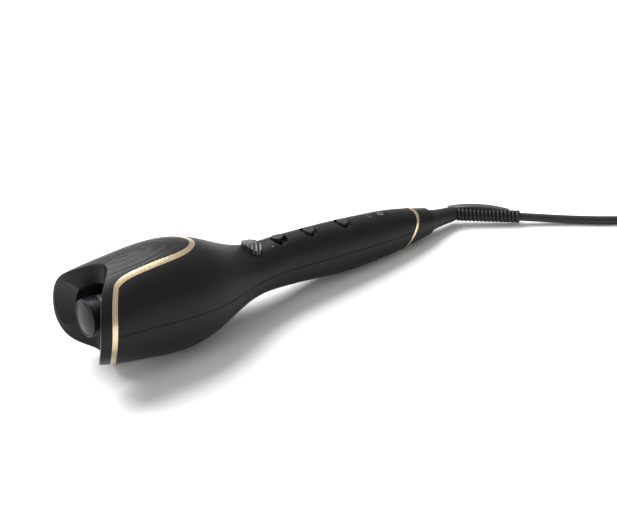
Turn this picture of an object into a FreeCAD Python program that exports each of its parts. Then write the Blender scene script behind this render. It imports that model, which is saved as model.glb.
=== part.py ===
import FreeCAD, Part
import math
import os

# Automatic hair curler.
# Every piece is drawn in the tool frame: +X runs along the barrel axis from the
# front cap (x = 0) to the cord, +Z is the top of the handle, millimetres.
# The finished pieces are then tipped by the rest tilt and set down on the floor.

os.makedirs("parts", exist_ok=True)
doc = FreeCAD.newDocument("HairCurler")
sheet = doc.addObject("Spreadsheet::Sheet", "Sheet")

DIMENSIONS = [
    ("rest_tilt", 6.4),
    ("rest_plane", -46.4),
    ("wall", 2.4),
    ("parting_height", 2.2),
    ("corner_power", 2.25),
    ("bore_radius", 21.0),
    ("liner_wall", 2.4),
    ("chamber_depth", 66.0),
    ("face_wall", 3.0),
    ("slot_near", 24.0),
    ("slot_far", 8.0),
    ("slot_depth", 62.0),
    ("strip_width", 8.8),
    ("funnel_radius", 33.0),
    ("trim_width", 4.2),
    ("barrel_radius", 13.2),
    ("barrel_wall", 1.0),
    ("barrel_length", 83.0),
    ("sleeve_radius", 13.6),
    ("sleeve_length", 9.5),
    ("cap_dome", 2.2),
    ("heater_gap", 3.2),
    ("heater_length", 56.0),
    ("hub_radius", 16.0),
    ("hub_inner", 14.2),
    ("rotor_radius", 20.3),
    ("bearing_radius", 19.5),
    ("bearing_play", 0.06),
    ("gear_module", 0.8),
    ("rotor_teeth", 44),
    ("pinion_teeth", 11),
    ("gear_width", 5.0),
    ("motor_size", 12.0),
    ("motor_depth", 10.0),
    ("board_thickness", 1.6),
    ("board_height", 9.0),
    ("slider_travel", 2.5),
    ("button_travel", 1.0),
    ("slider_throw", 2.5),
    ("curl_proud", 3.4),
    ("power_travel", 0.8),
    ("ring_width", 2.6),
    ("ring_proud", 0.35),
    ("tail_end", 306.0),
    ("cone_end", 334.0),
    ("relief_length", 53.0),
    ("relief_radius", 5.5),
    ("cord_diameter", 6.5),
    ("coil_radius", 37.0),
    ("coil_rows", 5),
]
for row, (alias, value) in enumerate(DIMENSIONS, start=1):
    sheet.set(f"A{row}", alias)
    sheet.set(f"B{row}", str(value))
    sheet.setAlias(f"B{row}", alias)
doc.recompute()
dim = {alias: float(getattr(sheet, alias)) for alias, _ in DIMENSIONS}
V = FreeCAD.Vector
BIG = 400.0
made = []
cord_made = []


# ---------------------------------------------------------------- helpers
def place_x(x, y=0.0, z=0.0):
    """Placement that stands a primitive's own Z axis along the tool's X axis."""
    return FreeCAD.Placement(V(x, y, z), FreeCAD.Rotation(V(0, 1, 0), 90))


def rod(x0, x1, radius, y=0.0, z=0.0):
    return Part.makeCylinder(radius, x1 - x0, V(x0, y, z), V(1, 0, 0))


def post(x, y, z0, z1, radius):
    return Part.makeCylinder(radius, z1 - z0, V(x, y, z0), V(0, 0, 1))


def block(x0, x1, y0, y1, z0, z1):
    return Part.makeBox(x1 - x0, y1 - y0, z1 - z0, V(x0, y0, z0))


def oval(x, y, half_x, half_y, z0, z1):
    """Upright elliptic post."""
    longer, shorter = max(half_x, half_y), min(half_x, half_y)
    centre = V(x, y, z0)
    along = V(1, 0, 0) if half_x >= half_y else V(0, 1, 0)
    across = V(0, 1, 0) if half_x >= half_y else V(-1, 0, 0)
    ellipse = Part.Ellipse(centre + along * longer, centre + across * shorter, centre)
    face = Part.Face(Part.Wire(ellipse.toShape()))
    return face.extrude(V(0, 0, z1 - z0))


def ring(x0, x1, outer, inner, y=0.0, z=0.0):
    return rod(x0, x1, outer, y, z).cut(rod(x0 - 1, x1 + 1, inner, y, z))


def keep(label, shape, listing=made):
    """A sub-part whose shape comes from functions that read the sheet."""
    solids = shape.Solids
    clean = solids[0] if len(solids) == 1 else Part.makeCompound(solids)
    feature = doc.addObject("Part::Feature", label)
    feature.Label = label
    feature.Shape = clean
    listing.append((feature, FreeCAD.Placement()))
    return feature


def bind(thing, **expressions):
    for name, text in expressions.items():
        thing.setExpression(name, text)
    return thing


def bound_rod(label, radius, length, placement, listing=made):
    thing = doc.addObject("Part::Cylinder", label)
    bind(thing, Radius=radius, Height=length)
    thing.Label = label
    listing.append((thing, placement))
    return thing


def bound_tube(label, outer, inner, length, placement):
    solid = bind(doc.addObject("Part::Cylinder", label + "_outer"), Radius=outer, Height=length)
    hole = bind(doc.addObject("Part::Cylinder", label + "_inner"), Radius=inner, Height=length)
    tube = doc.addObject("Part::Cut", label)
    tube.Base = solid
    tube.Tool = hole
    tube.Label = label
    made.append((tube, placement))
    return tube


def bound_box(label, length, width, height, placement):
    thing = doc.addObject("Part::Box", label)
    bind(thing, Length=length, Width=width, Height=height)
    thing.Label = label
    made.append((thing, placement))
    return thing


# ---------------------------------------------------------------- outer form
# station, half width, height above the axis, depth below the axis
STATIONS = [
    (-18, 34.5, 28.0, 27.0),
    (0, 35.5, 32.0, 31.0),
    (30, 36.2, 38.2, 37.0),
    (60, 37.4, 41.0, 39.8),
    (90, 34.8, 36.2, 35.0),
    (115, 27.0, 25.6, 23.0),
    (135, 20.3, 20.2, 17.6),
    (155, 16.6, 21.2, 17.2),
    (180, 15.8, 21.9, 18.2),
    (210, 16.0, 21.4, 20.2),
    (240, 15.6, 20.0, 19.6),
    (270, 14.3, 17.6, 16.2),
    (292, 11.8, 13.8, 12.6),
    (306, 10.0, 10.8, 10.0),
]


def section(x, half_width, top, bottom, inset):
    """Closed rounded section, fuller than an ellipse."""
    power = 2.0 / dim["corner_power"]
    points = []
    for step in range(24):
        angle = 2 * math.pi * step / 24
        c, s = math.cos(angle), math.sin(angle)
        reach = (top if s > 0 else bottom) - inset
        y = (half_width - inset) * math.copysign(abs(c) ** power, c)
        z = reach * math.copysign(abs(s) ** power, s)
        points.append(V(x, y, z))
    curve = Part.BSplineCurve()
    curve.interpolate(points, PeriodicFlag=True)
    return Part.Wire(curve.toShape())


def form(inset):
    return Part.makeLoft([section(*row, inset) for row in STATIONS], True, False)


# Tool frame to tipped frame, and the flat that the tool rests on.
tip = FreeCAD.Placement(V(0, 0, 0), FreeCAD.Rotation(V(0, 1, 0), dim["rest_tilt"]))
under_floor = block(-80, BIG, -80, 80, -160, dim["rest_plane"])
under_floor.Placement = tip.inverse()

outer = form(0.0).cut(under_floor)
inner = form(dim["wall"])
proud = form(-dim["ring_proud"]).cut(under_floor)

# Plan line of the mouth: x of the front face against y.
MOUTH = [(-38.5, -9.2), (-34.7, -8.2), (-31.5, -6.8), (-27, -4.3), (-20.5, 0.0), (-14, 5.2), (-6, 12.2),
         (2, 16.2), (8, 15.2), (12, 11.4), (15.5, 6.4), (19, 2.0), (23, -1.4), (27.5, -3.6), (32, -5.0),
         (38.5, -6.2)]


def plan_prism(points, z0, z1, closing):
    """Upright prism: a smooth line through the points, closed by straight runs."""
    curve = Part.BSplineCurve()
    curve.interpolate([V(x, y, z0) for x, y in points])
    edges = [curve.toShape()]
    corners = [points[-1]] + closing + [points[0]]
    for a, b in zip(corners, corners[1:]):
        edges.append(Part.makeLine(V(a[0], a[1], z0), V(b[0], b[1], z0)))
    return Part.Face(Part.Wire(edges)).extrude(V(0, 0, z1 - z0))


def mouth_prism(shift):
    """Everything in front of the mouth line moved back by the shift."""
    points = [(x + shift, y) for y, x in MOUTH]
    return plan_prism(points, -60, 60, [(-60, 38.5), (-60, -38.5)])


def mouth_air(shift):
    """The mouth and the funnel that leads from its rim down to the bore."""
    start = V(-25.5 + shift, 0, 0)
    funnel = Part.makeCone(dim["bore_radius"] + 38.2, dim["bore_radius"], 30, start, V(1, 0, 0))
    return mouth_prism(shift).fuse(funnel.common(rod(-40, 20, dim["funnel_radius"])))


# Plan outline of the cover's long tongue on the top: near side, tip and far side.
TONGUE_NEAR = [(9, -20), (13.5, -15.8), (22, -13.2), (36, -12.6), (49, -12.3), (62, -11.2), (72, -8.4),
               (80, -3.0)]
TONGUE_TIP = (83.6, 4.5)
TONGUE_FAR = [(80, 12.0), (72, 17.2), (62, 20.0), (49, 21.2), (36, 21.6), (22, 22.2), (13.5, 24.2),
              (6.5, 27.5)]


def tongue_prism(grow):
    points = []
    for line, side in ((TONGUE_NEAR, -1), (TONGUE_FAR, 1)):
        for x, y in line:
            slope = 0.35 if x > 70 else 0.0
            points.append((x + grow * slope, y + side * grow * (1 - 0.3 * slope)))
        if side < 0:
            points.append((TONGUE_TIP[0] + grow, TONGUE_TIP[1]))
    return plan_prism(points, 0, 60, [(-30, points[-1][1]), (-30, points[0][1])])


def cover_zone(grow):
    return mouth_prism(dim["strip_width"] + grow).fuse(tongue_prism(grow))


front_air = mouth_air(0.0)
behind_face = inner.cut(mouth_air(dim["face_wall"]))
bore = rod(-40, dim["chamber_depth"], dim["bore_radius"])
slot = block(-40, dim["slot_depth"], -dim["slot_near"], -dim["slot_far"], -60, -8)
zone = cover_zone(0.0)
wide_zone = cover_zone(dim["trim_width"])
parting = dim["parting_height"]

# slanted plane of the rear ring: x = ring_base + ring_lean * z
RING_BASE = 281.5
RING_LEAN = 0.5


def ahead_of_ring(shift):
    """Everything in front of the slanted ring plane."""
    low, high = -50, 50
    corners = [(-60, low), (RING_BASE + shift + RING_LEAN * low, low),
               (RING_BASE + shift + RING_LEAN * high, high), (-60, high), (-60, low)]
    wire = Part.makePolygon([V(x, -60, z) for x, z in corners])
    return Part.Face(wire).extrude(V(0, 120, 0))


# ---------------------------------------------------------------- controls layout
CURL_X = 136.5
CURL_HALF = (6.2, 9.6)
SLIDERS = [("direction_slider", 161.0), ("timer_slider", 188.0), ("temperature_slider", 220.0)]
POCKET_HALF = (6.9, 8.1)
POWER_X = 257.0
POWER_RADIUS = 5.4
LIGHTS = [(245.5, -1.7), (245.5, 1.7)]
board_top = dim["board_height"] + dim["board_thickness"]
SCREWS = [120.0, 268.6]

control_holes = oval(CURL_X, 0, CURL_HALF[0] + 0.35, CURL_HALF[1] + 0.35, 3, 60)
for _, x in SLIDERS:
    control_holes = control_holes.fuse(oval(x, 0, POCKET_HALF[0], POCKET_HALF[1], 3, 60))
control_holes = control_holes.fuse(post(POWER_X, 0, 3, 60, POWER_RADIUS + 0.9))
for x, y in LIGHTS:
    control_holes = control_holes.fuse(post(x, y, 3, 60, 0.9))


# ---------------------------------------------------------------- shells and trim
def make_shells():
    skin = outer.cut(inner).common(ahead_of_ring(0.0)).cut(wide_zone).cut(front_air)
    above = block(-60, BIG, -60, 60, parting, 60)
    below = block(-60, BIG, -60, 60, -60, parting)
    upper = skin.common(above).cut(control_holes)
    lower = skin.common(below).cut(slot)
    for x in SCREWS:
        boss = post(x, 0, -40, parting, 4.0).common(outer)
        cap_boss = post(x, 0, parting, 40, 4.0).common(outer)
        lower = lower.fuse(boss).cut(post(x, 0, -5, 40, 1.6)).cut(post(x, 0, -60, -5, 3.2))
        upper = upper.fuse(cap_boss).cut(post(x, 0, -40, parting + 8, 1.25))
    keep("handle_upper_shell", upper)
    keep("handle_lower_shell", lower)


def make_cover():
    cover = outer.common(zone).cut(front_air).cut(bore).cut(slot).cut(behind_face)
    keep("chamber_cover", cover)
    band = outer.cut(inner).common(wide_zone).cut(zone).cut(front_air).cut(slot)
    keep("trim_band", band)


def make_liner():
    radius = dim["bore_radius"] + dim["liner_wall"]
    depth = dim["chamber_depth"]
    side = dim["liner_wall"]
    body = rod(-40, depth + 3, radius)
    cheeks = block(-40, dim["slot_depth"] + side, -dim["slot_near"] - side, -dim["slot_far"] + side, -60, -8)
    body = body.fuse(cheeks).common(behind_face)
    body = body.cut(bore).cut(slot).cut(rod(depth - 1, depth + 4, dim["bearing_radius"]))
    keep("chamber_liner", body)


def make_ring_and_tail():
    zone_ring = ahead_of_ring(dim["ring_width"]).cut(ahead_of_ring(0.0))
    keep("rear_ring", proud.cut(inner).common(zone_ring))
    tail = outer.cut(ahead_of_ring(dim["ring_width"]))
    hollow = inner.common(block(-60, 299, -60, 60, -60, 60))
    keep("tail_cap", tail.cut(hollow).cut(rod(290, 320, 7.5)))


# ---------------------------------------------------------------- barrel and heater
def make_barrel():
    sleeve = dim["sleeve_length"]
    bound_tube("barrel", "Sheet.barrel_radius", "Sheet.barrel_radius - Sheet.barrel_wall",
               "Sheet.barrel_length", place_x(sleeve))
    bound_tube("barrel_sleeve", "Sheet.sleeve_radius", "Sheet.sleeve_radius - 1.8",
               "Sheet.sleeve_length - 0.6", place_x(0.6))
    dome = dim["cap_dome"]
    radius = dim["sleeve_radius"] - 0.7
    sphere_radius = (radius ** 2 + dome ** 2) / (2 * dome)
    ball = Part.makeSphere(sphere_radius, V(sphere_radius - dome, 0, 0))
    disc = ball.common(rod(-dome - 1, 0.6, radius))
    plug = rod(0.6, 7, dim["sleeve_radius"] - 1.8)
    keep("barrel_end_cap", disc.fuse(plug))


def make_heater():
    start, length = 14.0, dim["heater_length"]
    inside = dim["barrel_radius"] - dim["barrel_wall"]
    core = rod(start, start + length, inside).cut(rod(start - 1, start + length + 1, inside - 3.4))
    half_gap = dim["heater_gap"] / 2
    web = block(start, start + length, -8.5, 8.5, -half_gap - 2.4, half_gap + 2.4).common(rod(0, 90, inside))
    legs = block(start, start + length, -2, 2, -inside, inside).common(rod(0, 90, inside))
    core = core.fuse(web).fuse(legs)
    gap = block(start - 1, start + length + 1, -20, 20, -half_gap, half_gap)
    core = core.cut(gap)
    halves = sorted(core.Solids, key=lambda solid: solid.CenterOfMass.z)
    keep("heat_spreader_lower", halves[0])
    keep("heat_spreader_upper", halves[-1])
    bound_box("ptc_heater", "Sheet.heater_length - 6", "14", "Sheet.heater_gap",
              FreeCAD.Placement(V(start + 3, -7, -half_gap), FreeCAD.Rotation()))
    bound_rod("thermal_fuse", "1.9", "11", place_x(start + length + 3, 0, 0))


def gear(teeth, width, x, y, shaft, turned):
    """Spur gear with straight flanks, thinner than its pitch for running play."""
    module = dim["gear_module"]
    pitch = module * teeth / 2
    root, tip = pitch - 1.2 * module, pitch + 0.85 * module
    points = []
    for tooth in range(teeth):
        centre = 2 * math.pi * tooth / teeth + turned
        for radius, part in ((root, -0.30), (tip, -0.10), (tip, 0.10), (root, 0.30)):
            angle = centre + part * 2 * math.pi / teeth
            points.append(V(x, y + radius * math.cos(angle), radius * math.sin(angle)))
    points.append(points[0])
    solid = Part.Face(Part.makePolygon(points)).extrude(V(width, 0, 0))
    return solid.cut(rod(x - 1, x + width + 1, shaft, y)) if shaft else solid


PINION_Y = dim["gear_module"] * (dim["rotor_teeth"] + dim["pinion_teeth"]) / 2
GEAR_X = 71.0


def make_rotor():
    hub = ring(61.5, 77, dim["hub_radius"], dim["hub_inner"])
    flange = ring(61.5, 65, dim["rotor_radius"], dim["hub_inner"])
    finger = block(22, 62, -3.2, 3.2, 16.4, 19.6).fuse(block(22, 27, -5.5, 5.5, 16.4, 19.0))
    finger = finger.common(rod(0, 70, dim["rotor_radius"])).cut(rod(0, 70, 16.2))
    keep("rotor", hub.fuse(flange).fuse(finger))
    keep("rotor_gear", gear(int(dim["rotor_teeth"]), dim["gear_width"], GEAR_X, 0.0, dim["hub_radius"], 0.0))
    bound_tube("rotor_bearing", "Sheet.bearing_radius", "Sheet.hub_radius + Sheet.bearing_play", "3",
               place_x(dim["chamber_depth"]))


def make_drive():
    plate = inner.common(block(79, 82, -60, 60, -60, 60)).cut(rod(70, 90, dim["barrel_radius"]))
    plate = plate.cut(rod(70, 90, 2.2, PINION_Y))
    keep("barrel_bulkhead", plate)
    half = dim["motor_size"] / 2
    deep = dim["motor_depth"] / 2
    corner = FreeCAD.Placement(V(82, PINION_Y - deep, -half), FreeCAD.Rotation())
    gearbox = bound_box("motor_gearbox", "9", "Sheet.motor_depth", "Sheet.motor_size", corner)
    can = rod(91, 105, half, PINION_Y).common(block(90, 106, PINION_Y - deep, PINION_Y + deep, -half, half))
    keep("motor_can", can)
    teeth = int(dim["pinion_teeth"])
    # a gap of the pinion faces the rotor gear's tooth on the line of centres
    pinion = gear(teeth, dim["gear_width"], GEAR_X, PINION_Y, 0.0, math.pi + math.pi / teeth)
    keep("motor_pinion", pinion.fuse(rod(GEAR_X, 82, 1.5, PINION_Y)))


# ---------------------------------------------------------------- boards and controls
def make_boards():
    board = block(128, 264, -8, 8, dim["board_height"], board_top)
    keep("control_board", board)
    keep("mains_board", block(150, 232, -9, 9, -9.6, -8))
    keep("capacitor", rod(206, 226, 5.0, 0, -3.0))
    keep("transformer", block(160, 180, -8, 8, -8, 5))
    keep("curl_switch", block(CURL_X - 3, CURL_X + 3, -3, 3, board_top, board_top + 1.6))
    keep("power_switch", block(POWER_X - 3, POWER_X + 3, -3, 3, board_top, board_top + 1.6))
    bodies = [block(x - 4.5, x + 4.5, -6, 6, board_top, board_top + 2.0) for _, x in SLIDERS]
    keep("slide_switches", Part.makeCompound(bodies))
    lights = [post(x, y, board_top, 40, 0.9).common(outer) for x, y in LIGHTS]
    keep("indicator_lights", Part.makeCompound(lights))


def raised(offset):
    """The outer form lifted straight up."""
    lifted = outer.copy()
    lifted.translate(V(0, 0, offset))
    return lifted


def make_curl_button():
    base = board_top + 1.6 + dim["button_travel"] + 0.15
    body = oval(CURL_X, 0, *CURL_HALF, base, 40).common(raised(dim["curl_proud"]))
    flange = oval(CURL_X, 0, CURL_HALF[0] + 1.2, CURL_HALF[1] + 0.8, base, base + 1.0)
    keep("curl_button", body.fuse(flange))


def make_sliders():
    pockets = []
    for label, x in SLIDERS:
        top = 21.0 if x < 210 else 20.4
        floor = top - 3.2
        cup = oval(x, 0, *POCKET_HALF, floor - 1.2, 40).common(outer)
        cup = cup.cut(oval(x, 0, POCKET_HALF[0] - 0.5, POCKET_HALF[1] - 0.5, floor, 60))
        cup = cup.cut(block(x - 1.5, x + 1.5, -4.2, 4.2, 0, floor + 1))
        pockets.append(cup)
        y = dim["slider_throw"] if label == "direction_slider" else 0.0
        head = oval(x, y, 4.6, 4.2, floor + 0.15, 40).common(raised(0.9))
        stem = block(x - 1.1, x + 1.1, y - 1.1, y + 1.1, board_top + 2.1, floor + 0.5)
        keep(label, head.fuse(stem))
    keep("slider_pockets", Part.makeCompound(pockets))


def make_power():
    base = board_top + 1.6 + dim["power_travel"] + 0.15
    body = post(POWER_X, 0, base, 40, POWER_RADIUS).common(outer)
    keep("power_button", body.fuse(post(POWER_X, 0, base, base + 0.8, POWER_RADIUS + 0.7)))
    collar = post(POWER_X, 0, 14.6, 40, POWER_RADIUS + 0.9).cut(post(POWER_X, 0, 0, 60, POWER_RADIUS + 0.3))
    keep("power_ring", collar.common(outer))


def make_screws():
    screws = []
    for x in SCREWS:
        head = post(x, 0, -8, -5, 2.9)
        shank = post(x, 0, -5.5, parting + 7, 1.25)
        screws.append(head.fuse(shank))
    keep("shell_screws", Part.makeCompound(screws))


# ---------------------------------------------------------------- swivel and cord
tilt = math.radians(dim["rest_tilt"])
TURN = math.radians(36.4)


def to_floor_frame(x, z):
    """Tool-frame point on the middle plane, tipped by the rest tilt."""
    return V(x * math.cos(tilt) + z * math.sin(tilt), 0, -x * math.sin(tilt) + z * math.cos(tilt))


def to_tool_frame(point):
    x = point.x * math.cos(tilt) - point.z * math.sin(tilt)
    z = point.x * math.sin(tilt) + point.z * math.cos(tilt)
    return V(x, point.y, z)


def make_swivel():
    start, end = dim["tail_end"] + 0.4, dim["cone_end"]
    waist = [(start, 9.2), (start + 4, 8.3), (start + 9, 7.4), (start + 15, 6.7), (end - 4, 6.2), (end, 5.7)]
    profile = [V(start, 0, 0)] + [V(x, 0, r) for x, r in waist] + [V(end, 0, 0), V(start, 0, 0)]
    cone = Part.Face(Part.makePolygon(profile)).revolve(V(0, 0, 0), V(1, 0, 0), 360)
    cone = cone.fuse(Part.makeSphere(5.6, V(end, 0, 0)))
    cone = cone.fuse(rod(292, start + 1, 5.0)).fuse(rod(296, 298.4, 6.8))
    keep("swivel_cone", cone)
    bound_tube("swivel_bearing", "7.5", "5.05", "6.6", place_x(299))
    stack = rod(284, 292, 3.0)
    for x in (284.6, 287.2, 289.8):
        stack = stack.fuse(rod(x, x + 1.4, 3.8))
    keep("slip_rings", stack)
    return cone


def along(start, direction, radius, length):
    return Part.makeCylinder(radius, length, start, direction)


knuckle = to_floor_frame(dim["cone_end"], 0)
lean = 2.8 / dim["relief_length"]
heading = V(math.cos(TURN), -math.sin(TURN), -lean)
heading.normalize()


def make_relief():
    """Ribbed sleeve: collars on a taper, with a wider last collar."""
    length = dim["relief_length"]
    radius = dim["relief_radius"]
    pitch = (length - 3.6) / 16
    core = Part.makeCone(radius - 0.9, radius - 1.4, length, knuckle, heading)
    body = core
    for rib in range(16):
        at = knuckle + heading * (3.6 + rib * pitch)
        size = radius - 0.55 * rib / 16
        wide = pitch * (0.62 if rib < 15 else 1.0)
        body = body.fuse(Part.makeCylinder(size, wide, at, heading))
    body = body.cut(Part.makeSphere(5.6, knuckle))
    body = body.cut(along(knuckle, heading, dim["cord_diameter"] / 2, length + 5))
    return body


def make_loop(cone):
    """Strap arching over the strain relief, from the cone to the relief."""
    side = heading.cross(V(0, 0, 1))
    side.normalize()
    up = side.cross(heading)
    spans = [(-3, 5.4), (6, 7.2), (20, 7.8), (34, 7.2), (44, 5.0)]
    lower = [knuckle + heading * s + up * (h - 1.5) for s, h in spans]
    upper = [knuckle + heading * s + up * h for s, h in spans]
    first, second = Part.BSplineCurve(), Part.BSplineCurve()
    first.interpolate(lower)
    second.interpolate(upper)
    edges = [first.toShape(), Part.makeLine(lower[-1], upper[-1]), second.toShape(),
             Part.makeLine(upper[0], lower[0])]
    strap = Part.Face(Part.Wire(Part.__sortEdges__(edges))).extrude(side * 6.0)
    strap.translate(side * -6.0)
    return strap.cut(cone)


def floor_point(distance, height, sideways=0.0):
    base = knuckle + V(math.cos(TURN), -math.sin(TURN), 0) * distance
    base = base + V(math.sin(TURN), math.cos(TURN), 0) * sideways
    return V(base.x, base.y, floor_level + height)


def cord_path(points):
    """Straight runs joined by tangent arcs."""
    edges, radii = [], []
    here = points[0]
    for a, b, c in zip(points, points[1:], points[2:]):
        into, out = (a - b), (c - b)
        short = min(into.Length, out.Length)
        into.normalize()
        out.normalize()
        half = (math.pi - into.getAngle(out)) / 2
        trim = 0.45 * short
        radius = trim / math.tan(half)
        radii.append(radius)
        start, end = b + into * trim, b + out * trim
        bisector = into + out
        bisector.normalize()
        middle = b + bisector * (radius / math.cos(half) - radius)
        edges.append(Part.LineSegment(here, start).toShape())
        edges.append(Part.Arc(start, middle, end).toShape())
        here = end
    edges.append(Part.LineSegment(here, points[-1]).toShape())
    return Part.Wire(edges), radii


def sweep_cord(points):
    path, radii = cord_path(points)
    radius = dim["cord_diameter"] / 2
    direction = points[1] - points[0]
    circle = Part.Wire(Part.makeCircle(radius, points[0], direction))
    tube = path.makePipeShell([circle], True, True)
    expected = math.pi * radius ** 2 * path.Length
    print("cord bend radii", [round(value, 1) for value in radii])
    print("cord volume", round(tube.Volume, 1), "section x length", round(expected, 1))
    return tube, path.Length


# ---------------------------------------------------------------- build
make_shells()
make_cover()
make_liner()
make_ring_and_tail()
make_barrel()
make_heater()
make_rotor()
make_drive()
make_boards()
make_curl_button()
make_sliders()
make_power()
make_screws()
swivel_shape = make_swivel()
doc.recompute()


def measured_box(things):
    box = FreeCAD.BoundBox()
    for feature, local in things:
        copy = feature.Shape.copy()
        copy.Placement = tip.multiply(local)
        points, _ = copy.tessellate(0.05)
        for point in points:
            box.add(point)
    return box


tool_box = measured_box(made)
floor_level = tool_box.ZMin
tipped_cone = swivel_shape.copy()
tipped_cone.Placement = tip
relief = make_relief()
loop = make_loop(tipped_cone).cut(relief)


def keep_tipped(label, shape, listing=made):
    """A piece drawn in the floor frame, so its placement undoes the tilt."""
    feature = keep(label, shape, listing)
    listing[-1] = (feature, tip.inverse())


keep_tipped("strain_relief", relief)
keep_tipped("hanging_loop", loop)

cord_radius = dim["cord_diameter"] / 2
rest_height = cord_radius + 0.15
relief_end = knuckle + heading * dim["relief_length"]
LAST = [(170.0, 2.0), (204.0, 14.0)]
route = [
    knuckle + heading * 6.0,
    relief_end + heading * 2.0,
    floor_point(88, rest_height + 0.4, 0.0),
    floor_point(128, rest_height, -1.5),
    floor_point(LAST[0][0], rest_height, LAST[0][1]),
    floor_point(LAST[1][0], rest_height, LAST[1][1]),
]
tube, tube_length = sweep_cord(route)

# The coil has an inner and an outer column of turns. It stands on the floor,
# and the last run touches the circle of its outer column.
run = math.hypot(LAST[1][0] - LAST[0][0], LAST[1][1] - LAST[0][1])
step = ((LAST[1][0] - LAST[0][0]) / run, (LAST[1][1] - LAST[0][1]) / run)
outer_turn = dim["coil_radius"] + cord_radius
middle = (LAST[1][0] - step[1] * outer_turn, LAST[1][1] + step[0] * outer_turn)
coil_base = floor_point(middle[0], 0.15, middle[1])
coil_height = dim["cord_diameter"] * dim["coil_rows"]
up = V(0, 0, 1)
coil = Part.makeCylinder(outer_turn + cord_radius, coil_height, coil_base, up)
hollow = Part.makeCylinder(dim["coil_radius"] - dim["cord_diameter"], coil_height + 2, coil_base - up, up)
coil = coil.cut(hollow)
keep_tipped("cord_tube", tube.cut(coil), cord_made)
keep_tipped("cord_coil", coil, cord_made)

# The free end leaves the top row a quarter turn after the entry and comes down
# to the plug on the floor.
top_row = rest_height + dim["cord_diameter"] * (dim["coil_rows"] - 1)


def tail_point(distance, height):
    """Point on the tail, along the tangent a quarter turn after the entry."""
    start = (middle[0] + step[0] * outer_turn, middle[1] + step[1] * outer_turn)
    return floor_point(start[0] - step[1] * distance, height, start[1] + step[0] * distance)


PLUG_HEIGHT = 7.4
tail_route = [tail_point(0, top_row), tail_point(20, top_row - 2.5), tail_point(42, top_row - 13.5),
              tail_point(60, PLUG_HEIGHT + 1.4), tail_point(74, PLUG_HEIGHT)]
tail, _ = sweep_cord(tail_route)
keep_tipped("cord_tail", tail.cut(coil), cord_made)


def make_plug(start, way):
    """Round-nosed two-pin plug: tapered sleeve, then a flat body."""
    side = way.cross(up)
    sleeve = Part.makeCone(4.6, 6.6, 14, start, way)
    widths = [(12, 6.6, 6.6), (20, 12.0, 7.2), (38, 17.0, 7.2)]
    wires = []
    for reach, half_width, half_height in widths:
        centre = start + way * reach
        ellipse = Part.Ellipse(centre + side * half_width, centre + up * min(half_height, half_width - 0.01), centre)
        wires.append(Part.Wire(ellipse.toShape()))
    return sleeve.fuse(Part.makeLoft(wires, True, False))


plug_start = tail_route[-1]
tail_way = plug_start - tail_point(50, PLUG_HEIGHT)
tail_way.normalize()
keep_tipped("plug_body", make_plug(plug_start, tail_way).cut(tail), cord_made)
side = tail_way.cross(up)
pins = []
for offset in (-9.5, 9.5):
    base = plug_start + tail_way * 38 + side * offset
    pins.append(Part.makeCylinder(2.0, 17, base, tail_way).fuse(Part.makeSphere(2.0, base + tail_way * 17)))
keep_tipped("plug_pins", Part.makeCompound(pins), cord_made)

doc.recompute()
tool_box = measured_box([pair for pair in made if pair[0].Label != "strain_relief"])
shift = V(-(tool_box.XMin + tool_box.XMax) / 2, -(tool_box.YMin + tool_box.YMax) / 2, -tool_box.ZMin)
stand = FreeCAD.Placement(shift, tip.Rotation)
for feature, local in made + cord_made:
    feature.Placement = stand.multiply(local)
doc.recompute()


def report_point(name, x, y, z):
    point = stand.multVec(V(x, y, z))
    print(name, [round(value / 1000, 6) for value in point])


report_point("barrel axis", 0, 0, 0)
report_point("swivel axis", dim["cone_end"], 0, 0)
report_point("pinion axis", GEAR_X, PINION_Y, 0)
report_point("curl button", CURL_X, 0, 20)
report_point("power button", POWER_X, 0, 18)
for name, x in SLIDERS:
    report_point(name, x, 0, 20)
print("tool box", tool_box)
print("shift", list(shift))
print("route", [[round(value / 1000, 5) for value in point + shift] for point in route])
print("coil base", [round(value / 1000, 5) for value in coil_base + shift])
print("tail route", [[round(value / 1000, 5) for value in point + shift] for point in tail_route])
print("plug way", [round(value, 5) for value in tail_way])
print("plug start", [round(value / 1000, 5) for value in plug_start + shift])
print("knuckle", [round(value / 1000, 5) for value in knuckle + shift])

for item in doc.Objects:
    if "Invalid" in item.State or "Error" in item.State:
        raise RuntimeError(f"{item.Label} did not recompute")
for feature, _ in made + cord_made:
    shape = feature.Shape
    if shape.isNull() or not shape.isValid():
        raise RuntimeError(f"{feature.Label} has no valid shape")
    print(feature.Label, len(shape.Solids), round(shape.Volume))
    shape.exportStep(f"parts/{feature.Label}.step")
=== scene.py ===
import math

import bpy
from mathutils import Matrix, Vector
from mathutils.bvhtree import BVHTree


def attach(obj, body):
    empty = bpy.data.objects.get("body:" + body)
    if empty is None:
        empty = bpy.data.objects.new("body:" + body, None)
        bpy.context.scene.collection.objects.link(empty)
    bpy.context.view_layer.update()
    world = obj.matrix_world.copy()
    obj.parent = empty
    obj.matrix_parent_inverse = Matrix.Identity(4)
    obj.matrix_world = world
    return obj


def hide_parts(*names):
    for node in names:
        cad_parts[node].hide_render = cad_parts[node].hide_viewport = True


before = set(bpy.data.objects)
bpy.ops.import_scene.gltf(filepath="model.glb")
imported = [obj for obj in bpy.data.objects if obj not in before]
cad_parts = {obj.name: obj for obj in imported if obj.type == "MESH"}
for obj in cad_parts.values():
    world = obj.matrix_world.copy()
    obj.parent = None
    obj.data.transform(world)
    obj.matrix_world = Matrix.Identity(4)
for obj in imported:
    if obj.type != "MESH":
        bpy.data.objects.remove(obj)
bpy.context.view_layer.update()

# ------------------------------------------------------------------ frames
# Pieces are drawn in the tool frame: millimetres, +X along the barrel axis from
# the front cap, +Z the top of the handle. The tool lies tipped on the floor.
TILT = math.radians(6.4)
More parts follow.
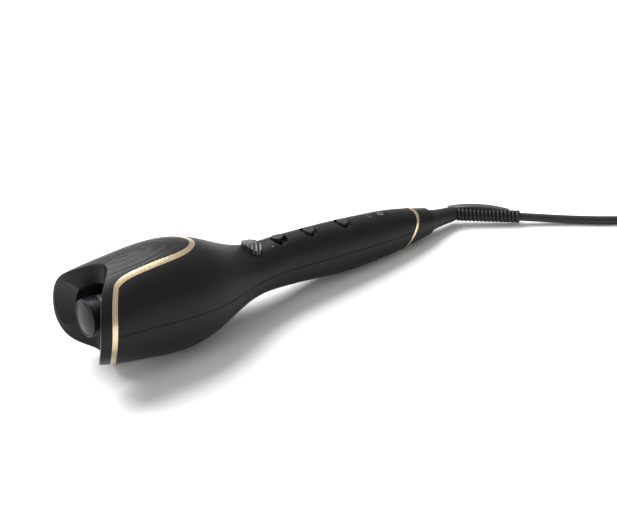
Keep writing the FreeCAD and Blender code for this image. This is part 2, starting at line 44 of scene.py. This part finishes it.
AXIS_START, AXIS_HEIGHT = 0.1810969, 0.0464
TO_MILLIMETRES = 1000
CAP_PLACE = Matrix.Translation((-AXIS_START, 0.0, AXIS_HEIGHT))
TO_FLOOR = CAP_PLACE @ Matrix.Rotation(TILT, 4, "Y") @ Matrix.Scale(0.001, 4)


def to_floor(point):
    return TO_FLOOR @ Vector(point)


# ------------------------------------------------------------------ camera
TURN = math.radians(36.4)
RISE = math.radians(33.0)
LEAN = Matrix.Rotation(math.radians(0.2), 4, "Y")  # of the whole camera, about the barrel cap
FROM_CAP = (-0.4292, -0.8391, 0.6473)
LENS, SENSOR = 96.68, 36.0


def make_camera():
    data = bpy.data.cameras.new("camera")
    data.lens = LENS
    data.sensor_width = SENSOR
    camera = bpy.data.objects.new("camera", data)
    bpy.context.collection.objects.link(camera)
    right = Vector((math.cos(TURN), -math.sin(TURN), 0))
    up = Vector((math.sin(TURN) * math.sin(RISE), math.cos(TURN) * math.sin(RISE), math.cos(RISE)))
    back = right.cross(up)
    axes = Matrix((right, up, back)).transposed().to_4x4()
    place = to_floor((0, 0, 0)) + LEAN @ Vector(FROM_CAP)
    camera.matrix_world = Matrix.Translation(place) @ LEAN @ axes
    bpy.context.scene.camera = camera


make_camera()


# ------------------------------------------------------------------ shader kit
class Signal:
    """A socket in a finish's node tree. Operators on it add Math nodes."""

    def __init__(self, finish, socket):
        self.finish = finish
        self.socket = socket

    def _math(self, operation, first, second=None):
        values = {0: first} if second is None else {0: first, 1: second}
        return self.finish.node("ShaderNodeMath", {"operation": operation}, values)

    def __add__(self, other):
        return self._math("ADD", self, other)

    def __sub__(self, other):
        return self._math("SUBTRACT", self, other)

    def __rsub__(self, other):
        return self._math("SUBTRACT", other, self)

    def __mul__(self, other):
        return self._math("MULTIPLY", self, other)

    def __truediv__(self, other):
        return self._math("DIVIDE", self, other)

    def __lt__(self, other):
        return self._math("LESS_THAN", self, other)

    __radd__ = __add__
    __rmul__ = __mul__

    def sine(self):
        return self._math("SINE", self)

    def size(self):
        return self._math("ABSOLUTE", self)

    def root(self):
        return self._math("SQRT", self)

    def least(self, other):
        return self._math("MINIMUM", self, other)

    def most(self, other):
        return self._math("MAXIMUM", self, other)


class Finish:
    """One material: a principled shader and the nodes that vary it."""

    def __init__(self, name, colour, roughness, **constants):
        self.material = bpy.data.materials.new(name)
        self.material.use_nodes = True
        self.tree = self.material.node_tree
        self.shader = self.tree.nodes["Principled BSDF"]
        self.feed("Base Color", (*colour, 1.0))
        self.feed("Roughness", roughness)
        for word, value in constants.items():
            self.feed(word.replace("_", " ").title().replace("Ior", "IOR"), value)

    def feed(self, socket, value):
        self._plug(self.shader.inputs[socket], value)

    def _plug(self, socket, value):
        if isinstance(value, Signal):
            self.tree.links.new(value.socket, socket)
        else:
            socket.default_value = value

    def node(self, kind, settings=None, inputs=None, output=0):
        made = self.tree.nodes.new(kind)
        for name, value in (settings or {}).items():
            if name == "stops":
                ramp = made.color_ramp.elements
                while len(ramp) < len(value):
                    ramp.new(0.5)
                for element, (place, shade) in zip(ramp, value):
                    element.position = place
                    element.color = shade
            else:
                setattr(made, name, value)
        for name, value in (inputs or {}).items():
            self._plug(made.inputs[name], value)
        return Signal(self, made.outputs[output])

    def where(self):
        return self.node("ShaderNodeTexCoord", output="Object")

    def parts(self, vector):
        return [self.node("ShaderNodeSeparateXYZ", inputs={0: vector}, output=i) for i in range(3)]

    def grain(self, scale, detail=2.0, stretch=(1, 1, 1)):
        spot = self.node("ShaderNodeVectorMath", {"operation": "MULTIPLY"}, {0: self.where(), 1: stretch})
        return self.node("ShaderNodeTexNoise", inputs={"Vector": spot, "Scale": scale, "Detail": detail})

    def tint(self, factor, first, second):
        return self.node("ShaderNodeMix", {"data_type": "RGBA"}, {0: factor, 6: first, 7: second}, output=2)

    def relief(self, height, strength, distance):
        sockets = {"Height": height, "Strength": strength, "Distance": distance}
        self.feed("Normal", self.node("ShaderNodeBump", inputs=sockets))


def shade(colour, factor):
    return tuple(min(1.0, channel * factor) for channel in colour[:3]) + (1.0,)


def moulded(name, colour, roughness, grain=2600.0, depth=0.00003, spread=0.05, **constants):
    """Moulded plastic: fine spark-eroded grain, slight cloudiness in colour and gloss."""
    finish = Finish(name, colour, roughness, **constants)
    cloud = finish.grain(45.0, 3.0)
    fine = finish.grain(grain, 2.0)
    finish.feed("Base Color", finish.tint(cloud, shade(colour, 0.9), shade(colour, 1.12)))
    finish.feed("Roughness", roughness - spread / 2 + cloud * spread + fine * 0.03)
    finish.relief(fine, 0.25, depth)
    return finish.material


def metal(name, colour, roughness, stretch=(1, 1, 1), lines=900.0, **constants):
    """Lacquered metal with faint drawn lines."""
    finish = Finish(name, colour, roughness, metallic=1.0, **constants)
    drawn = finish.grain(lines, 3.0, stretch)
    cloud = finish.grain(30.0, 2.0)
    finish.feed("Base Color", finish.tint(cloud, shade(colour, 0.94), shade(colour, 1.05)))
    finish.feed("Roughness", roughness + (drawn - 0.5) * 0.08)
    finish.relief(drawn, 0.08, 0.00001)
    return finish.material


def place_in_tool(finish):
    """Distance along the barrel axis and across the tool, in millimetres."""
    x, y, z = finish.parts(finish.where())
    ahead, down = TO_MILLIMETRES * math.cos(TILT), TO_MILLIMETRES * math.sin(TILT)
    along = (x + AXIS_START) * ahead - (z - AXIS_HEIGHT) * down
    return along, y * TO_MILLIMETRES


def height_in_tool(finish):
    """Height over the barrel axis, in millimetres."""
    x, y, z = finish.parts(finish.where())
    ahead, up = TO_MILLIMETRES * math.sin(TILT), TO_MILLIMETRES * math.cos(TILT)
    return (x + AXIS_START) * ahead + (z - AXIS_HEIGHT) * up


def rippled_cover():
    """Soft-touch cover with shallow nested ripples along the tongue."""
    finish = Finish("cover_soft_touch", CHARCOAL, 0.4, specular_ior_level=0.2)
    along, across = place_in_tool(finish)
    cloud, fine = finish.grain(45.0, 3.0), finish.grain(2600.0)
    height = height_in_tool(finish)
    flow = finish.grain(22.0, 1.0)
    reach = ((along - 30) * (along - 30) / 10 + (across - 3) * (across - 3)).root()
    ripple = (reach * 1.75 + flow * 2.0).sine()
    inside = ((1 - (reach / 16).least(1.0)) * 4).least(1.0) * ((height - 32.0) / 3).most(0.0).least(1.0)
    drawn = ripple * inside * 0.5 + fine * 0.03
    finish.feed("Base Color", finish.tint(cloud, shade(CHARCOAL, 0.9), shade(CHARCOAL, 1.12)))
    finish.feed("Roughness", 0.38 + cloud * 0.05 + fine * 0.03)
    finish.relief(drawn, 0.38, 0.00045)
    return finish.material


def ridged_button():
    """Satin grey with wavy ridges across the button, painted lighter on the crests as highlights and darker
    in the valleys as shade.
    """
    grey = (0.013, 0.013, 0.014)
    finish = Finish("button_ridged_grey", grey, 0.36)
    along, across = place_in_tool(finish)
    wave = (along * 1.7 + across.size() * 1.1).sine()
    crest = (wave + 1) * 0.5
    # Painted highlight on the crests and painted shade in the valleys.
    finish.feed("Base Color", finish.tint(crest, shade(grey, 0.3), shade(grey, 2.2)))
    finish.feed("Roughness", 0.42 - crest * 0.1)
    finish.relief(crest, 0.7, 0.0008)
    return finish.material


def ribbed_strap():
    """Rubber strap with a raised middle stripe along it, painted paler as a highlight along the top of the
    arch.
    """
    dark = (0.018, 0.018, 0.019)
    finish = Finish("strap_rubber", dark, 0.5)
    x, y, z = finish.parts(finish.where())
    from_middle = ((x - 0.15082) * math.sin(TURN) + y * math.cos(TURN) - 0.003).size() * 1000
    raised_highlight_stripe = (from_middle < 1.3) * 0.7
    fine = finish.grain(1800.0)
    # Painted highlight: the stripe is painted paler than the rest of the strap.
    finish.feed("Base Color", finish.tint(raised_highlight_stripe, shade(dark, 0.8), shade(dark, 3.2)))
    finish.feed("Roughness", 0.48 + fine * 0.08)
    finish.relief(raised_highlight_stripe * 0.6 + fine * 0.1, 0.5, 0.0004)
    return finish.material


CHARCOAL = (0.0060, 0.0060, 0.0068)
FINISH = {
    "body": moulded("body_soft_touch", CHARCOAL, 0.43, specular_ior_level=0.2),
    "cover": rippled_cover(),
    "gold": metal("champagne_trim", (0.70, 0.57, 0.38), 0.26),
    "barrel": metal("barrel_champagne_coat", (0.72, 0.58, 0.38), 0.36, stretch=(0.05, 1, 1)),
    "sleeve": moulded("barrel_black_sleeve", (0.006, 0.007, 0.011), 0.32),
    "cap": moulded("barrel_cap_grey", (0.005, 0.005, 0.0055), 0.35, depth=0.00001, specular_ior_level=0.22),
    "liner": moulded("chamber_black", (0.003, 0.003, 0.004), 0.6, specular_ior_level=0.3),
    "button": ridged_button(),
    "slider": moulded("slider_cap_grey", (0.018, 0.018, 0.019), 0.3, depth=0.00001),
    "pocket": moulded("pocket_black", (0.004, 0.004, 0.005), 0.3, depth=0.00001),
    # Near-black sheet laid in the shell seams and round the power button: painted shadow in the gaps.
    "seam": moulded("seam_painted_shadow", (0.001, 0.001, 0.001), 0.8, specular_ior_level=0.1),
    # Light grey for the mouth bead: painted highlight along the rounded rim of the mouth.
    "bead": moulded("rim_highlight_grey", (0.05, 0.05, 0.052), 0.3, depth=0.00001),
    "rubber": moulded("soft_rubber", (0.007, 0.007, 0.0075), 0.5, grain=1800.0, specular_ior_level=0.35),
    "strap": ribbed_strap(),
    "cord": moulded("cord_rubber", (0.009, 0.009, 0.0095), 0.45, grain=1500.0, specular_ior_level=0.4),
    "print": moulded("pale_print", (0.22, 0.22, 0.225), 0.5, depth=0.00001),
    "ceramic": moulded("heater_ceramic", (0.75, 0.73, 0.68), 0.5),
    "acetal": moulded("white_acetal", (0.78, 0.78, 0.75), 0.38),
    "board": moulded("board_lacquer", (0.01, 0.10, 0.035), 0.3),
    "component": moulded("component_moulding", (0.012, 0.012, 0.02), 0.35),
    "aluminium": metal("extruded_aluminium", (0.78, 0.78, 0.79), 0.34, stretch=(0.05, 1, 1)),
    "steel": metal("plated_steel", (0.62, 0.62, 0.64), 0.26),
    "brass": metal("machined_brass", (0.70, 0.52, 0.22), 0.25),
    "light": moulded("light_guide", (0.06, 0.06, 0.062), 0.2),
}

CAD_FINISH = {
    "chamber_liner": "liner", "rotor": "sleeve", "rotor_gear": "acetal", "rotor_bearing": "acetal",
    "barrel_bulkhead": "sleeve", "heat_spreader_lower": "aluminium", "heat_spreader_upper": "aluminium",
    "ptc_heater": "ceramic", "thermal_fuse": "steel", "motor_gearbox": "brass", "motor_can": "steel",
    "motor_pinion": "brass", "control_board": "board", "mains_board": "board", "capacitor": "component",
    "transformer": "component", "curl_switch": "component", "power_switch": "component",
    "slide_switches": "steel", "indicator_lights": "light", "slider_pockets": "pocket",
    "power_ring": "pocket", "shell_screws": "steel", "swivel_bearing": "acetal", "slip_rings": "brass",
    "handle_upper_shell": "body", "handle_lower_shell": "body", "chamber_cover": "cover", "trim_band": "gold",
    "rear_ring": "gold", "tail_cap": "body", "barrel": "barrel", "barrel_sleeve": "sleeve",
    "barrel_end_cap": "cap", "curl_button": "button", "direction_slider": "slider",
    "timer_slider": "slider", "temperature_slider": "slider", "power_button": "body",
    "swivel_cone": "rubber", "strain_relief": "rubber", "hanging_loop": "strap", "plug_body": "rubber",
    "plug_pins": "brass",
}
for node, look in CAD_FINISH.items():
    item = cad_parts[node]
    item.data.materials.clear()
    item.data.materials.append(FINISH[look])


def add_piece(name, mesh, look, body, *nodes):
    """Links a finished mesh, gives it its finish and slot, and fastens it to its body."""
    mesh.polygons.foreach_set("use_smooth", [True] * len(mesh.polygons))
    piece = bpy.data.objects.new(name, mesh)
    bpy.context.collection.objects.link(piece)
    mesh.materials.append(FINISH[look])
    if nodes:
        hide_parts(*nodes)
    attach(piece, body)
    return piece


def grid_mesh(name, rows, ring=False, caps=(False, False)):
    """Quads through rows of points in the tool frame."""
    mesh = bpy.data.meshes.new(name)
    width = len(rows[0])
    points = [to_floor(point) for row in rows for point in row]
    faces = []
    for i in range(len(rows) - 1):
        for j in range(width if ring else width - 1):
            k = (j + 1) % width
            faces.append((i * width + j, i * width + k, (i + 1) * width + k, (i + 1) * width + j))
    if caps[0]:
        faces.append(tuple(reversed(range(width))))
    if caps[1]:
        last = (len(rows) - 1) * width
        faces.append(tuple(last + j for j in range(width)))
    mesh.from_pydata(points, [], faces)
    mesh.update()
    return mesh


def turned(profile, steps):
    """Rows of a turned piece about the barrel axis, from (distance along X, radius) pairs."""
    rows = []
    for along, radius in profile:
        row = []
        for step in range(steps):
            angle = 2 * math.pi * step / steps
            row.append((along, radius * math.cos(angle), radius * math.sin(angle)))
        rows.append(row)
    return rows


def rounded(piece, width):
    """Rounds the piece's sharp edges, width in millimetres."""
    bevel = piece.modifiers.new("rounded_edges", "BEVEL")
    bevel.width = width / TO_MILLIMETRES
    bevel.segments = 4
    bevel.limit_method = "ANGLE"
    bevel.angle_limit = math.radians(50)


# ------------------------------------------------------------------ outer form
STATIONS = [
    (-18, 34.5, 28.0, 27.0), (0, 35.5, 32.0, 31.0), (30, 36.2, 38.2, 37.0), (60, 37.4, 41.0, 39.8),
    (90, 34.8, 36.2, 35.0), (115, 27.0, 25.6, 23.0), (135, 20.3, 20.2, 17.6), (155, 16.6, 21.2, 17.2),
    (180, 15.8, 21.9, 18.2), (210, 16.0, 21.4, 20.2), (240, 15.6, 20.0, 19.6), (270, 14.3, 17.6, 16.2),
    (292, 11.8, 13.8, 12.6), (306, 10.0, 10.8, 10.0),
]
FULLNESS = 2.0 / 2.25


def smooth_line(keys):
    """Natural cubic spline through (place, value) pairs."""
    count = len(keys)
    gap = [keys[i + 1][0] - keys[i][0] for i in range(count - 1)]
    rate = [(keys[i + 1][1] - keys[i][1]) / gap[i] for i in range(count - 1)]
    bend = [0.0] * count
    lean, load = [0.0] * count, [0.0] * count
    for i in range(1, count - 1):
        pivot = 2 * (gap[i - 1] + gap[i]) - gap[i - 1] * lean[i - 1]
        lean[i] = gap[i] / pivot
        load[i] = (6 * (rate[i] - rate[i - 1]) - gap[i - 1] * load[i - 1]) / pivot
    for i in range(count - 2, 0, -1):
        bend[i] = load[i] - lean[i] * bend[i + 1]

    def value(place):
        i = 0
        while i < count - 2 and place > keys[i + 1][0]:
            i += 1
        t, h = place - keys[i][0], gap[i]
        slope = rate[i] - h * (2 * bend[i] + bend[i + 1]) / 6
        return keys[i][1] + t * (slope + t * (bend[i] / 2 + t * (bend[i + 1] - bend[i]) / (6 * h)))

    return value


half_width = smooth_line([(row[0], row[1]) for row in STATIONS])
height_above = smooth_line([(row[0], row[2]) for row in STATIONS])
depth_below = smooth_line([(row[0], row[3]) for row in STATIONS])
mouth_line = smooth_line([(-38.5, -9.2), (-34.7, -8.2), (-31.5, -6.8), (-27, -4.3), (-20.5, 0.0), (-14, 5.2),
                          (-6, 12.2), (2, 16.2), (8, 15.2), (12, 11.4), (15.5, 6.4), (19, 2.0), (23, -1.4),
                          (27.5, -3.6), (32, -5.0), (38.5, -6.2)])


# The mouth line is only known between the sides of the head.
SIDE_LIMIT = 38.4
ROUNDS = 24


def skin(x, angle, lift=0.0):
    """Point on the outer form. Angle 0 is the far side, 90 the top, 180 the near side."""
    c, s = math.cos(angle), math.sin(angle)
    reach = height_above(x) if s > 0 else depth_below(x)
    y = (half_width(x) + lift) * math.copysign(abs(c) ** FULLNESS, c)
    z = (reach + lift) * math.copysign(abs(s) ** FULLNESS, s)
    return (x, y, z)


def angle_low(x, y):
    """Angle of the point of the underside at this y."""
    ratio = min(1.0, abs(y / half_width(x)))
    return -math.acos(math.copysign(ratio ** (1 / FULLNESS), y))


def rim_x(angle, shift):
    """Where the line of the mouth, moved back by the shift, meets this angle of the form."""
    x = 5.0 + shift
    for _ in range(ROUNDS):
        y = max(-SIDE_LIMIT, min(SIDE_LIMIT, skin(x, angle)[1]))
        x = 0.5 * x + 0.5 * (mouth_line(y) + shift)
    return x


SLOT_NEAR, SLOT_FAR = -24.0, -8.0
PARTING = 2.2
SEAM_HALF, SEAM_END, SEAM_BEHIND_RIM = 0.26, 282.0, 13.2
BEAD_RADIUS, BEAD_BEHIND_RIM, BEAD_DEPTH = 0.26, 0.34, 0.3
OUTSIDE = 60


def tube_rows(line, radius, around=10):
    """Rings of points round a line in the tool frame."""
    rows = []
    for i, point in enumerate(line):
        ahead = (line[min(i + 1, len(line) - 1)] - line[max(i - 1, 0)]).normalized()
        side = ahead.cross(Vector((0.13, 0.21, 0.97))).normalized()
        lift = side.cross(ahead)
        rows.append([point + (side * math.cos(t) + lift * math.sin(t)) * radius
                     for t in (2 * math.pi * k / around for k in range(around))])
    return rows


def make_mouth_bead():
    """Fine bead, painted lighter grey as the highlight along the rounded rim, that follows the mouth's outer
    edge, from one side of the hair slot to the other.
    """
    first = 2 * math.pi + angle_low(2, SLOT_NEAR)
    last = angle_low(12, SLOT_FAR)
    steps = 320
    line = []
    for step in range(steps + 1):
        angle = first + (last - first) * step / steps
        line.append(Vector(skin(rim_x(angle, BEAD_BEHIND_RIM), angle, -BEAD_DEPTH)))
    bead = grid_mesh("mouth_highlight_bead", tube_rows(line, BEAD_RADIUS), ring=True, caps=(True, True))
    add_piece("mouth_highlight_bead", bead, "bead", "handle")


def surface_of(*names):
    """A search tree of CAD pieces, for laying thin pieces on them."""
    points, faces = [], []
    for name in names:
        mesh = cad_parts[name].data
        first = len(points)
        points += [vertex.co.copy() for vertex in mesh.vertices]
        faces += [[first + corner for corner in face.vertices] for face in mesh.polygons]
    return BVHTree.FromPolygons(points, faces)


def laid_on(surface, start, way, lift):
    """The tool-frame point where a line from the start meets the surface, raised by the lift."""
    turn = TO_FLOOR.to_3x3().normalized()
    hit = surface.ray_cast(to_floor(start), turn @ Vector(way))[0]
    if hit is None:
        return Vector(start)
    return TO_FLOOR.inverted() @ hit - Vector(way) * lift


shells = surface_of("handle_upper_shell", "handle_lower_shell", "rear_ring", "power_button", "power_ring")


def make_parting_seam():
    """Dark shadow line where the two shells meet, on both sides."""
    above_side = 0.06
    steps = 240
    for side in (-1, 1):
        rows = []
        first = rim_x(math.pi - above_side if side < 0 else above_side, SEAM_BEHIND_RIM)
        for step in range(steps + 1):
            x = first + (SEAM_END - first) * step / steps
            low, high = [laid_on(shells, (x, side * OUTSIDE, PARTING + drop), (0, -side, 0), 0.03)
                         for drop in (-SEAM_HALF, SEAM_HALF)]
            rows.append([low, (low + high) / 2 + Vector((0, side * 0.02, 0)), high])
        name = "parting_seam_near" if side < 0 else "parting_seam_far"
        add_piece(name, grid_mesh(name, rows), "seam", "handle")


def make_barrel_cap():
    """Domed cap with a raised rim ring and a fine groove inside it."""
    face, sag, rings = 11.9, 1.95, 14
    profile = [(6.5, 12.0), (0.62, 12.4), (0.35, 13.35), (0.1, 13.5), (-0.35, 13.45), (-0.62, 13.2),
               (-0.7, 12.9), (-0.62, 12.55), (-0.25, 12.35), (-0.1, 12.15), (-0.25, 11.95)]
    for step in range(1, rings + 1):
        radius = face * (1 - step / rings)
        profile.append((-0.45 - sag * (1 - (radius / face) ** 2), max(radius, 0.02)))
    add_piece("barrel_cap", grid_mesh("barrel_cap", turned(profile, steps=96), ring=True, caps=(True, True)),
              "cap", "handle", "barrel_end_cap")


def flat_ring(name, look, middle, inner, outer, start, sweep, body):
    """Ring, or part of one, laid on the top of the handle round a place on its middle line."""
    steps = 48
    rows = []
    for step in range(steps + 1):
        angle = math.radians(start + sweep * step / steps)
        row = []
        for radius in (inner, (inner + outer) / 2, outer):
            x, y = middle + radius * math.cos(angle), radius * math.sin(angle)
            row.append((x, y, top_at(x, y)))
        rows.append(row)
    add_piece(name, grid_mesh(name, rows), look, body)


def top_at(x, y):
    """Height just over the top of the handle at a plan point."""
    return laid_on(shells, (x, y, OUTSIDE), (0, 0, -1), 0.04).z


def make_power_mark():
    """Standby sign, an open ring and a short bar, and the shadow gap round the button."""
    middle = 257
    flat_ring("power_gap", "seam", middle, 5.35, 6.1, 0, 360, "handle")
    flat_ring("power_mark_ring", "print", middle, 1.75, 2.25, 35, 290, "power_unit")
    rows = [[(x, y, top_at(x, y)) for y in (-0.25, 0.25)] for x in (257.2, 258.0, 258.9, 259.7)]
    add_piece("power_mark_bar", grid_mesh("power_mark_bar", rows), "print", "power_unit")


def make_direction_marks():
    """Small wedge, dot and wedge beside the direction slider."""
    x = 151.5
    for k, (y, size) in enumerate([(6.2, 0.9), (0.2, 0.45), (-5.8, 0.9)]):
        top = top_at(x, y)
        low, high = y - size * 0.7, y + size * 0.7
        rows = [[(x - size, low, top), (x + size, low, top)],
                [(x - size * 0.3, high, top), (x + size * 0.3, high, top)]]
        add_piece(f"direction_mark_{k}", grid_mesh(f"direction_mark_{k}", rows), "print", "handle")


# The strain relief and the strap are drawn from the knuckle along the cord's heading.
KNUCKLE = Vector((0.15082, 0.0, 0.00917))
HEADING = Vector((math.cos(TURN), -math.sin(TURN), -2.8 / 53)).normalized()
ASIDE = HEADING.cross(Vector((0, 0, 1))).normalized()
OVER = ASIDE.cross(HEADING)
RIBS, RAILS = 16, 12
RELIEF_START, RELIEF_END, RELIEF_TIP = 3.6, 53.0, 3.0


def beside_cord(along, across, over):
    """World point from millimetres along, across and over the cord's heading at the knuckle."""
    return KNUCKLE + (HEADING * along + ASIDE * across + OVER * over) / TO_MILLIMETRES


def make_strain_relief():
    """Tapered sleeve of ribs, with rails between them that leave rows of small windows."""
    pitch = (RELIEF_END - RELIEF_START) / RIBS
    around = RAILS * 8
    turn = [2 * math.pi * k / around for k in range(around)]
    valley, side, crown = range(3)
    rib_steps = [(0.0, valley), (0.03, side), (0.10, crown), (0.50, crown), (0.57, side), (0.60, valley),
                 (0.99, valley)]
    end_steps = [(0.0, valley), (0.03, side), (0.10, crown), (0.88, crown), (0.97, side), (1.0, valley)]
    rows = []
    for rib in range(RIBS):
        start = RELIEF_START + rib * pitch
        crest = 5.5 - 0.55 * rib / RIBS
        for share, level in end_steps if rib == RIBS - 1 else rib_steps:
            row = []
            for k, angle in enumerate(turn):
                rail = crest - 0.35 if k % 8 < 5 else crest - 1.9
                radius = (rail, crest - 0.22, crest)[level]
                across, over = radius * math.cos(angle), radius * math.sin(angle)
                row.append(beside_cord(start + share * pitch, across, over))
            rows.append(row)
    tip = [beside_cord(RELIEF_END, RELIEF_TIP * math.cos(t), RELIEF_TIP * math.sin(t)) for t in turn]
    rows = [[TO_FLOOR.inverted() @ point for point in row] for row in rows + [tip]]
    sleeve = grid_mesh("ribbed_strain_relief", rows, ring=True, caps=(True, True))
    return add_piece("ribbed_strain_relief", sleeve, "rubber", "cord_end", "strain_relief")


def make_strap():
    """Hanging strap arched over the strain relief, rounded along both edges."""
    top = smooth_line([(-4, 4.2), (6, 6.3), (20, 7.1), (34, 6.0), (45, 3.8)])
    outline = [(-3.0, -1.0), (-2.75, -0.3), (-2.2, 0.0), (0, 0.06), (2.2, 0.0), (2.75, -0.3), (3.0, -1.0),
               (2.8, -2.6), (0, -3.0), (-2.8, -2.6)]
    aside, steps = -3.0, 60
    rows = []
    for step in range(steps + 1):
        along = -4 + 49 * step / steps
        rows.append([TO_FLOOR.inverted() @ beside_cord(along, across + aside, top(along) + drop)
                     for across, drop in outline])
    strap = grid_mesh("arched_strap", rows, ring=True, caps=(True, True))
    add_piece("arched_strap", strap, "strap", "cord_end", "hanging_loop")


def soften_edges():
    """Moulded radii on the button and the slider caps."""
    for name, width in (("curl_button", 1.1), ("direction_slider", 0.6), ("timer_slider", 0.6),
                        ("temperature_slider", 0.6)):
        rounded(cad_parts[name], width)


soften_edges()
make_mouth_bead()
make_parting_seam()
make_barrel_cap()
make_power_mark()
make_direction_marks()
relief = make_strain_relief()
make_strap()


# ------------------------------------------------------------------ cord
CORD = 0.0065
ROUTE = [
    (0.15564, -0.00356, 0.00885), (0.19503, -0.03259, 0.00627), (0.22165, -0.05222, 0.0038),
    (0.25296, -0.07717, 0.0034), (0.28884, -0.09927, 0.0034), (0.32333, -0.10979, 0.0034),
]
COIL = (0.33507, -0.07129)
STEP, OUT = (0.9565, -0.2917), (0.2917, 0.9565)
LAYERS = [(0.04025, 0), (0.03375, 0), (0.03375, 1), (0.04025, 1), (0.04025, 2), (0.03375, 2),
          (0.03375, 3), (0.04025, 3), (0.04025, 4)]
TAIL = [
    (0.37357, -0.08303, 0.0294), (0.3794, -0.0639, 0.0269), (0.38582, -0.04286, 0.0159),
    (0.39107, -0.02564, 0.0088), (0.39515, -0.01225, 0.0074),
]
PER_TURN = 20
SWEEP = 2250  # degrees of coil, six and a quarter turns
LAY_SWEEP, CROSSING = 270, 90
FLOOR_LEVEL = 0.0034


def coil_point(turning):
    """A point of the put-away coil: nine lays of three quarters of a turn, easing from one to the next."""
    lay = min(int(turning // LAY_SWEEP), len(LAYERS) - 1)
    share = max(0.0, (turning - LAY_SWEEP * (lay + 1) + CROSSING) / CROSSING)
    ease = (1 - math.cos(math.pi * min(share, 1.0))) / 2
    here, after = LAYERS[lay], LAYERS[min(lay + 1, len(LAYERS) - 1)]
    radius = here[0] + (after[0] - here[0]) * ease
    level = here[1] + (after[1] - here[1]) * ease
    angle = math.radians(turning)
    across, along = -radius * math.cos(angle), radius * math.sin(angle)
    return (COIL[0] + OUT[0] * across + STEP[0] * along, COIL[1] + OUT[1] * across + STEP[1] * along,
            FLOOR_LEVEL + CORD * level)


def make_cord():
    knots = SWEEP * PER_TURN // 360
    points = ROUTE + [coil_point(i * 360 / PER_TURN) for i in range(1, knots)] + TAIL
    curve = bpy.data.curves.new("mains_cord", "CURVE")
    curve.dimensions = "3D"
    curve.bevel_depth = CORD / 2
    curve.bevel_resolution = 5
    curve.resolution_u = 5
    curve.use_fill_caps = True
    spline = curve.splines.new("NURBS")
    spline.points.add(len(points) - 1)
    for knot, point in zip(spline.points, points):
        knot.co = (*point, 1.0)
    spline.order_u = 3
    spline.use_endpoint_u = True
    cord = bpy.data.objects.new("mains_cord", curve)
    bpy.context.collection.objects.link(cord)
    curve.materials.append(FINISH["cord"])
    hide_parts("cord_tube", "cord_coil", "cord_tail")
    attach(cord, "cord_end")


make_cord()


# ------------------------------------------------------------------ floor and light
def make_floor():
    finish = Finish("pale_floor", (0.86, 0.86, 0.86), 0.6)
    cloud = finish.grain(3.0)
    finish.feed("Base Color", finish.tint(cloud, (0.85, 0.85, 0.85, 1), (0.88, 0.88, 0.88, 1)))
    mesh = bpy.data.meshes.new("floor")
    reach = 4
    corners = [(-reach, -reach, 0), (reach, -reach, 0), (reach, reach, 0), (-reach, reach, 0)]
    mesh.from_pydata(corners, [], [(0, 1, 2, 3)])
    floor = bpy.data.objects.new("floor", mesh)
    bpy.context.collection.objects.link(floor)
    mesh.materials.append(finish.material)


def make_lamp(name, place, aim, size, power):
    data = bpy.data.lights.new(name, "AREA")
    data.shape = "RECTANGLE"
    data.size, data.size_y = size
    data.energy = power
    lamp = bpy.data.objects.new(name, data)
    lamp.location = place
    lamp.rotation_euler = (Vector(aim) - Vector(place)).to_track_quat("-Z", "Y").to_euler()
    bpy.context.collection.objects.link(lamp)


def make_light():
    bpy.context.scene.view_settings.view_transform = "Standard"
    world = bpy.data.worlds.new("studio")
    bpy.context.scene.world = world
    world.use_nodes = True
    background = world.node_tree.nodes["Background"]
    background.inputs["Color"].default_value = (1.0, 1.0, 1.0, 1.0)
    background.inputs["Strength"].default_value = 0.5
    make_lamp("back_softbox", (-0.2, 1.2, 1.75), (0, 0.1, 0.0), (2.4, 1.4), 100)
    make_lamp("left_softbox", (-1.3, -0.2, 1.0), (-0.1, 0, 0.03), (0.5, 0.9), 4)


make_floor()
make_light()
